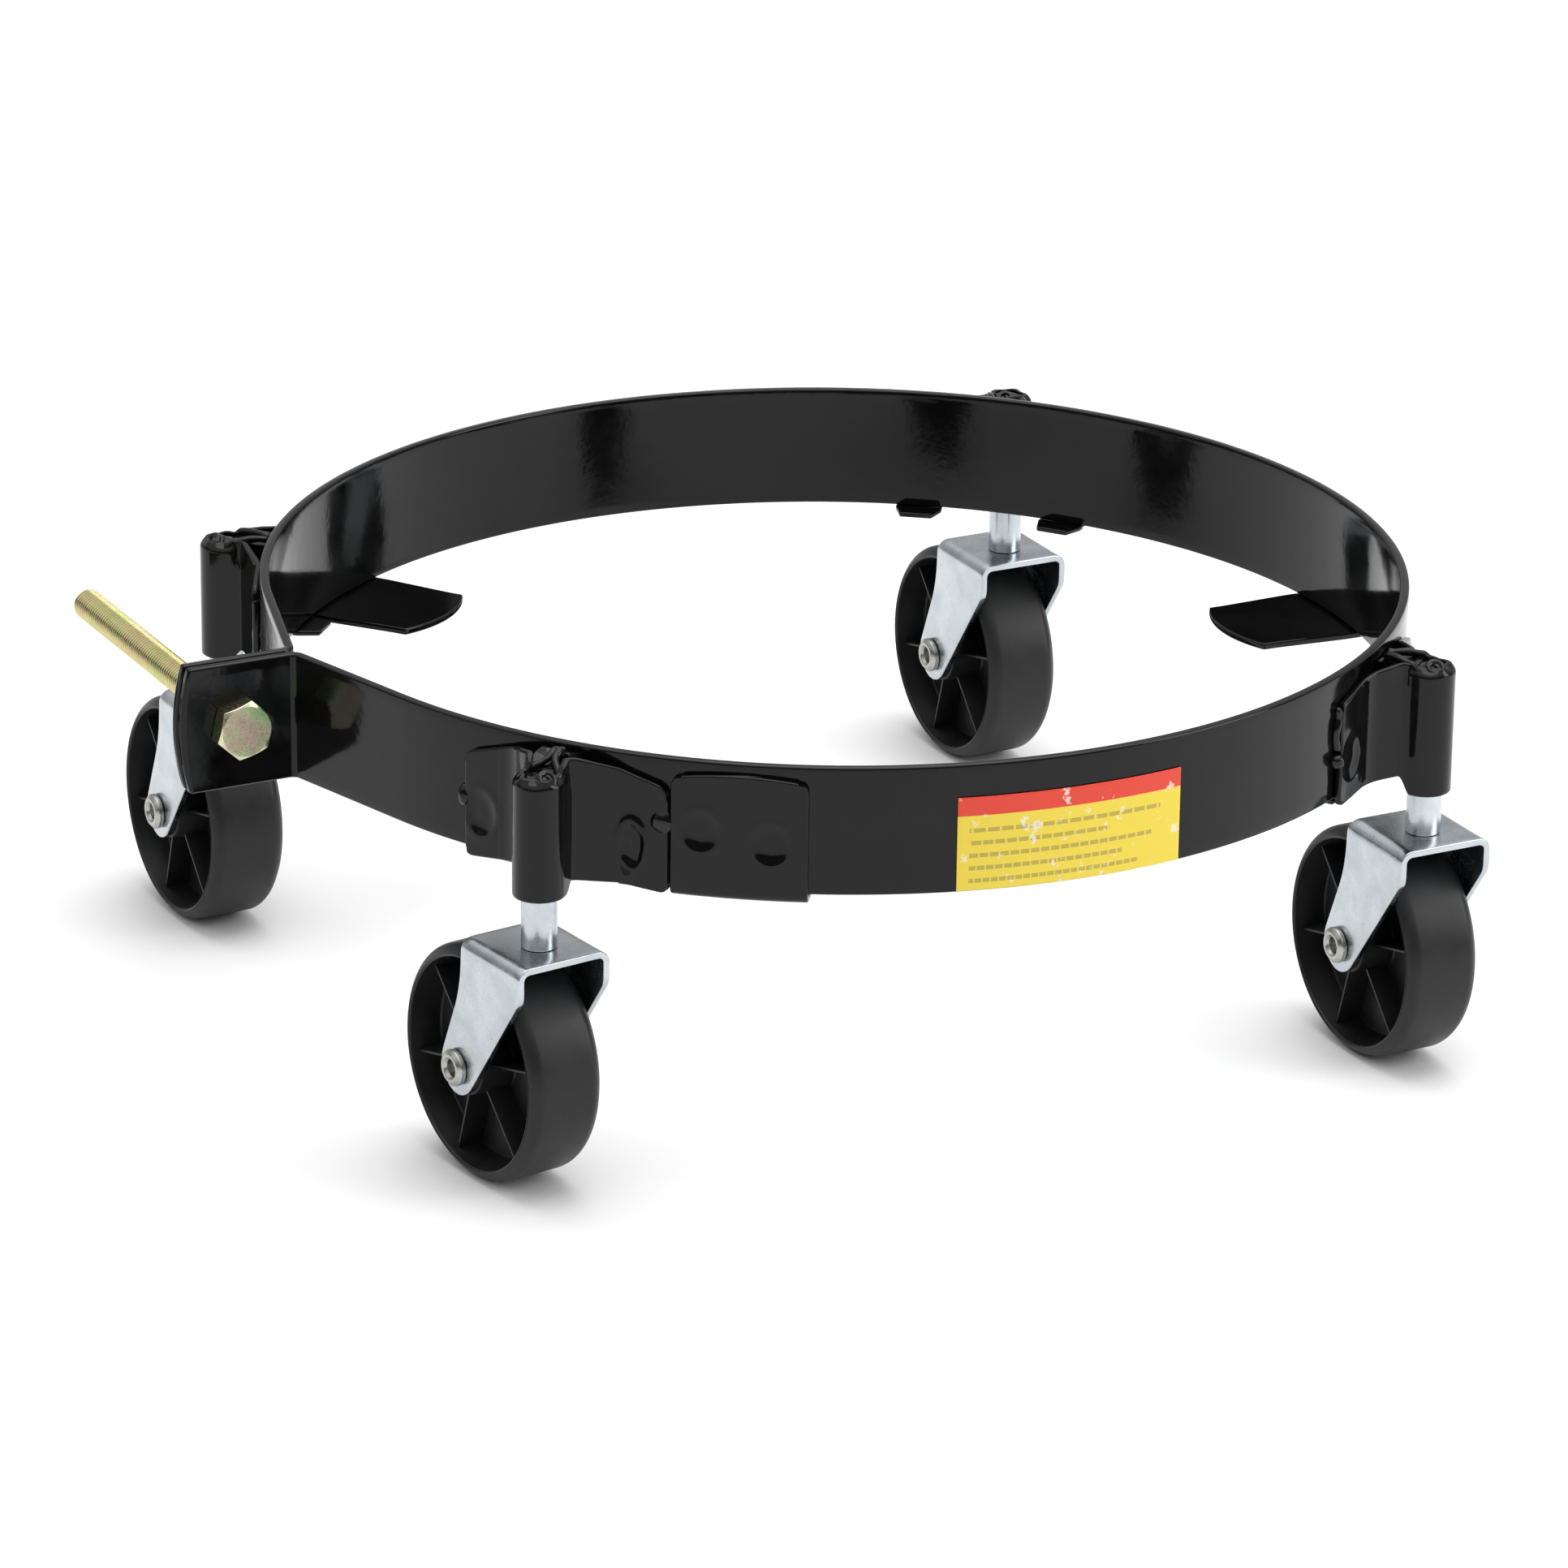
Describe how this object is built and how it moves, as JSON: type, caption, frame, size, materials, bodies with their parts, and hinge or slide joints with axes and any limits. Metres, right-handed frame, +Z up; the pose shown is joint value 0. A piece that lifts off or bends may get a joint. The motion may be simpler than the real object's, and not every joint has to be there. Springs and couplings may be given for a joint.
{
  "type": "drum dolly",
  "caption": "Ring dolly for a steel drum: a split clamp band with a tightening bolt, leaf plates that carry the drum's rim, and swivel casters in welded socket brackets.",
  "frame": {"origin": "centre of the footprint, on the floor under the wheels", "axes": "+Z up; +Y towards the back caster, away from the side with the label; +X to the right, along the longer side of the footprint"},
  "size_m": [0.4527, 0.4474, 0.141],
  "materials": {
    "black_paint": "gloss black paint over welded steel, with soft edges and a slight ripple",
    "bright_zinc": "bright bluish zinc plate with a faint cloudy pattern",
    "dull_zinc": "duller zinc plate on the hollow rivet and its sleeve",
    "spring_steel": "plain spring steel",
    "yellow_zinc": "yellow passivated zinc plate with a faint iridescence",
    "wheel_plastic": "moulded black plastic, satin",
    "label_yellow": "yellow vinyl sticker with a red strip along its top"
  },
  "bodies": {
    "frame": {"clamp_band": "black_paint", "leaf_plate_front": "black_paint", "leaf_plate_left": "black_paint", "leaf_plate_right": "black_paint", "band_label": "label_yellow", "front_left_socket_bracket": "black_paint", "right_socket_bracket": "black_paint", "back_socket_bracket": "black_paint", "left_socket_bracket": "black_paint"},
    "clamp_bolt": {"clamp_bolt": "yellow_zinc"},
    "clamp_nut": {"clamp_nut": "yellow_zinc"},
    "front_left_swivel": {"front_left_stem": "bright_zinc", "front_left_grip_ring": "spring_steel", "front_left_fork": "bright_zinc", "front_left_axle": "dull_zinc", "front_left_axle_sleeve": "dull_zinc"},
    "front_left_wheel": {"front_left_wheel": "wheel_plastic"},
    "right_swivel": {"right_stem": "bright_zinc", "right_grip_ring": "spring_steel", "right_fork": "bright_zinc", "right_axle": "dull_zinc", "right_axle_sleeve": "dull_zinc"},
    "right_wheel": {"right_wheel": "wheel_plastic"},
    "back_swivel": {"back_stem": "bright_zinc", "back_grip_ring": "spring_steel", "back_fork": "bright_zinc", "back_axle": "dull_zinc", "back_axle_sleeve": "dull_zinc"},
    "back_wheel": {"back_wheel": "wheel_plastic"},
    "left_swivel": {"left_stem": "bright_zinc", "left_grip_ring": "spring_steel", "left_fork": "bright_zinc", "left_axle": "dull_zinc", "left_axle_sleeve": "dull_zinc"},
    "left_wheel": {"left_wheel": "wheel_plastic"}
  },
  "joints": [
    {"name": "clamp_bolt_turn", "type": "hinge", "parent": "frame", "child": "clamp_bolt", "pos_m": [-0.16632, -0.11983, 0.1205], "axis": [0.4633, -0.8862, 0], "range_deg": [0, 21600]},
    {"name": "clamp_nut_travel", "type": "slide", "parent": "frame", "child": "clamp_nut", "axis": [-0.4633, 0.8862, 0], "range_m": [0, 0.0901]},
    {"name": "front_left_swivel_turn", "type": "hinge", "parent": "frame", "child": "front_left_swivel", "pos_m": [-0.06829, -0.20282, 0.11], "axis": [0, 0, 1], "continuous": true},
    {"name": "front_left_wheel_spin", "type": "hinge", "parent": "front_left_swivel", "child": "front_left_wheel", "pos_m": [-0.08013, -0.18597, 0.0375], "axis": [0.8181, 0.575, 0], "continuous": true},
    {"name": "right_swivel_turn", "type": "hinge", "parent": "frame", "child": "right_swivel", "pos_m": [0.20528, -0.09588, 0.11], "axis": [0, 0, 1], "continuous": true},
    {"name": "right_wheel_spin", "type": "hinge", "parent": "right_swivel", "child": "right_wheel", "pos_m": [0.19555, -0.07773, 0.0375], "axis": [0.8813, 0.4726, 0], "continuous": true},
    {"name": "back_swivel_turn", "type": "hinge", "parent": "frame", "child": "back_swivel", "pos_m": [0.07788, 0.16825, 0.11], "axis": [0, 0, 1], "continuous": true},
    {"name": "back_wheel_spin", "type": "hinge", "parent": "back_swivel", "child": "back_wheel", "pos_m": [0.06824, 0.18646, 0.0375], "axis": [0.8838, 0.4679, 0], "continuous": true},
    {"name": "left_swivel_turn", "type": "hinge", "parent": "frame", "child": "left_swivel", "pos_m": [-0.17878, 0.00631, 0.11], "axis": [0, 0, 1], "continuous": true},
    {"name": "left_wheel_spin", "type": "hinge", "parent": "left_swivel", "child": "left_wheel", "pos_m": [-0.18868, 0.02438, 0.0375], "axis": [0.8771, 0.4802, 0], "continuous": true}
  ],
  "couplings": [
    {"joint": "clamp_nut_travel", "follows": "clamp_bolt_turn", "m_per_rad": 0.00023873}
  ]
}
